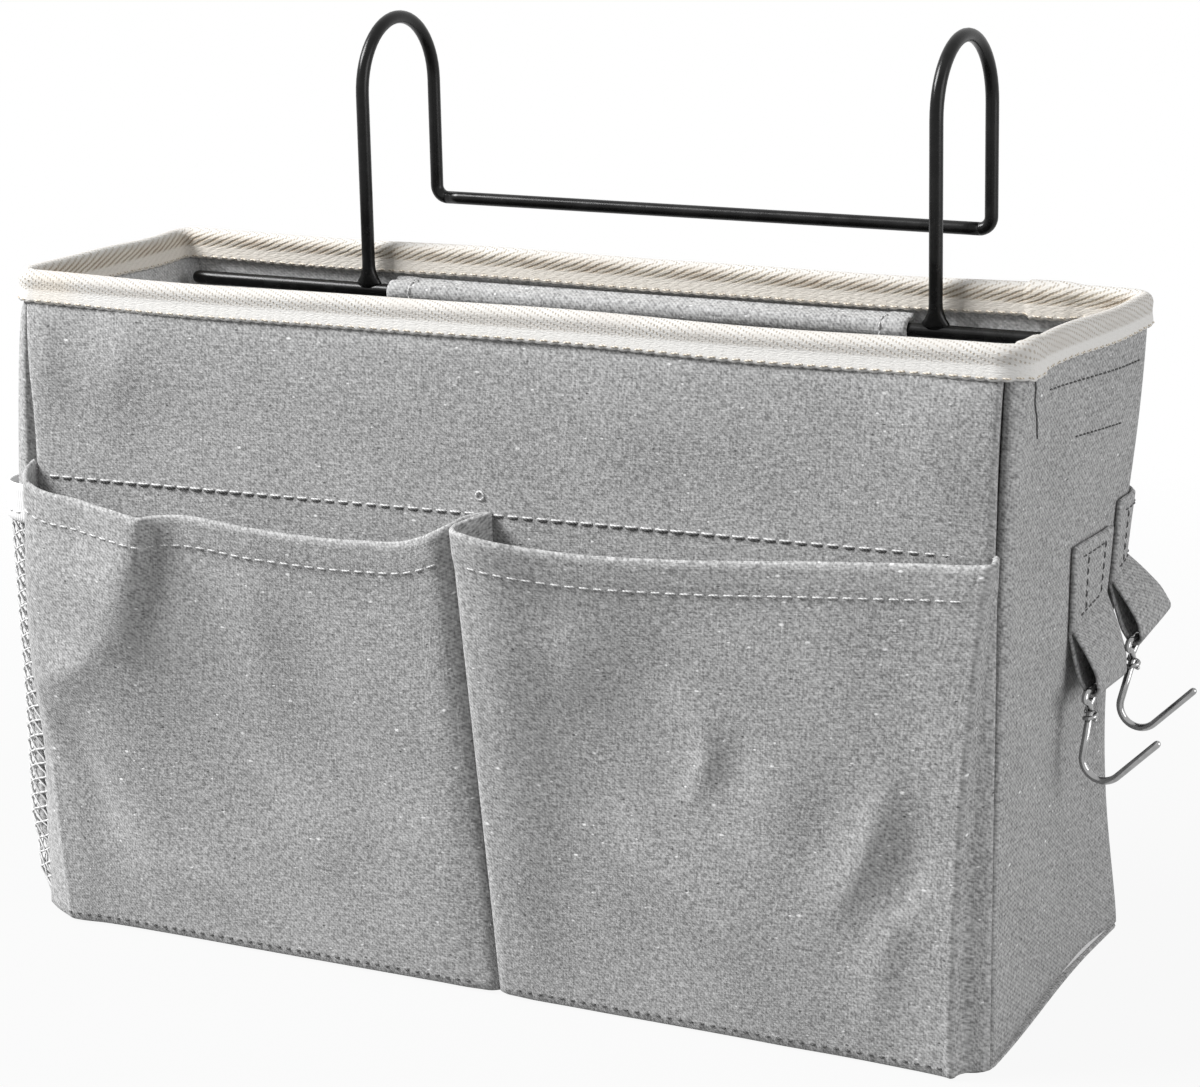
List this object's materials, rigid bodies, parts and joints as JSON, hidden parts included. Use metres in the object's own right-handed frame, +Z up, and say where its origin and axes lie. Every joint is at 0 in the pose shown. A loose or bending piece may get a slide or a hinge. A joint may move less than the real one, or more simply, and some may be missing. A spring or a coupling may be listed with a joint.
{
  "type": "bedside caddy",
  "caption": "Grey canvas caddy with a cream bound rim, front pockets, side net pocket and key hooks, hung from a bed rail by a tilting black wire hanger.",
  "frame": {"origin": "middle of the base panel's underside, on the surface the bag stands on", "axes": "+Z up, +X along the bag to the right as seen from the front, front towards -Y"},
  "size_m": [0.4178, 0.1794, 0.3139],
  "materials": {
    "canvas": "grey linen-cotton canvas, heathered",
    "lining": "grey cloth lining",
    "tape": "cream twill tape",
    "net": "white knitted mesh",
    "board": "plain sheet stiffener",
    "fastener": "hook-and-loop tape",
    "wire": "gloss black paint on steel",
    "chrome": "bright chromed wire"
  },
  "bodies": {
    "bag": {"front_panel": "canvas", "back_panel": "canvas", "left_side_panel": "canvas", "right_side_panel": "canvas", "base_panel": "canvas", "front_board": "board", "back_board": "board", "base_board": "board", "lining": "lining", "rim_binding": "tape", "left_pocket": "canvas", "right_pocket": "canvas", "net_pocket": "net", "net_pocket_hem": "net", "front_strap_tab": "canvas", "rear_strap_tab": "canvas", "loop_tape": "fastener"},
    "hanger": {"support_rod": "wire", "left_hanger_hook": "wire", "right_hanger_hook": "wire", "rear_bar": "wire"},
    "flap": {"rod_flap": "canvas", "hook_tape": "fastener"},
    "front_strap": {"front_strap_loop": "canvas"},
    "rear_strap": {"rear_strap_loop": "canvas"},
    "front_hook": {"front_key_hook": "chrome"},
    "rear_hook": {"rear_key_hook": "chrome"}
  },
  "joints": [
    {"name": "hanger_tilt", "type": "hinge", "parent": "bag", "child": "hanger", "pos_m": [0, 0.0427, 0.214], "axis": [1, 0, 0], "range_deg": [-3, 80]},
    {"name": "flap_open", "type": "hinge", "parent": "bag", "child": "flap", "pos_m": [0, 0.04772, 0.21828], "axis": [-1, 0, 0], "range_deg": [0, 50]},
    {"name": "front_strap_swing", "type": "hinge", "parent": "bag", "child": "front_strap", "pos_m": [0.18703, 0.00541, 0.12892], "axis": [0, -1, 0], "range_deg": [0, 50]},
    {"name": "rear_strap_swing", "type": "hinge", "parent": "bag", "child": "rear_strap", "pos_m": [0.18739, 0.03941, 0.13591], "axis": [0, -1, 0], "range_deg": [0, 50]},
    {"name": "front_hook_swing", "type": "hinge", "parent": "front_strap", "child": "front_hook", "pos_m": [0.1926, -0.00509, 0.10968], "axis": [0, -1, 0], "range_deg": [-3, 80]},
    {"name": "rear_hook_swing", "type": "hinge", "parent": "rear_strap", "child": "rear_hook", "pos_m": [0.19363, 0.02891, 0.11688], "axis": [0, -1, 0], "range_deg": [-3, 80]}
  ]
}
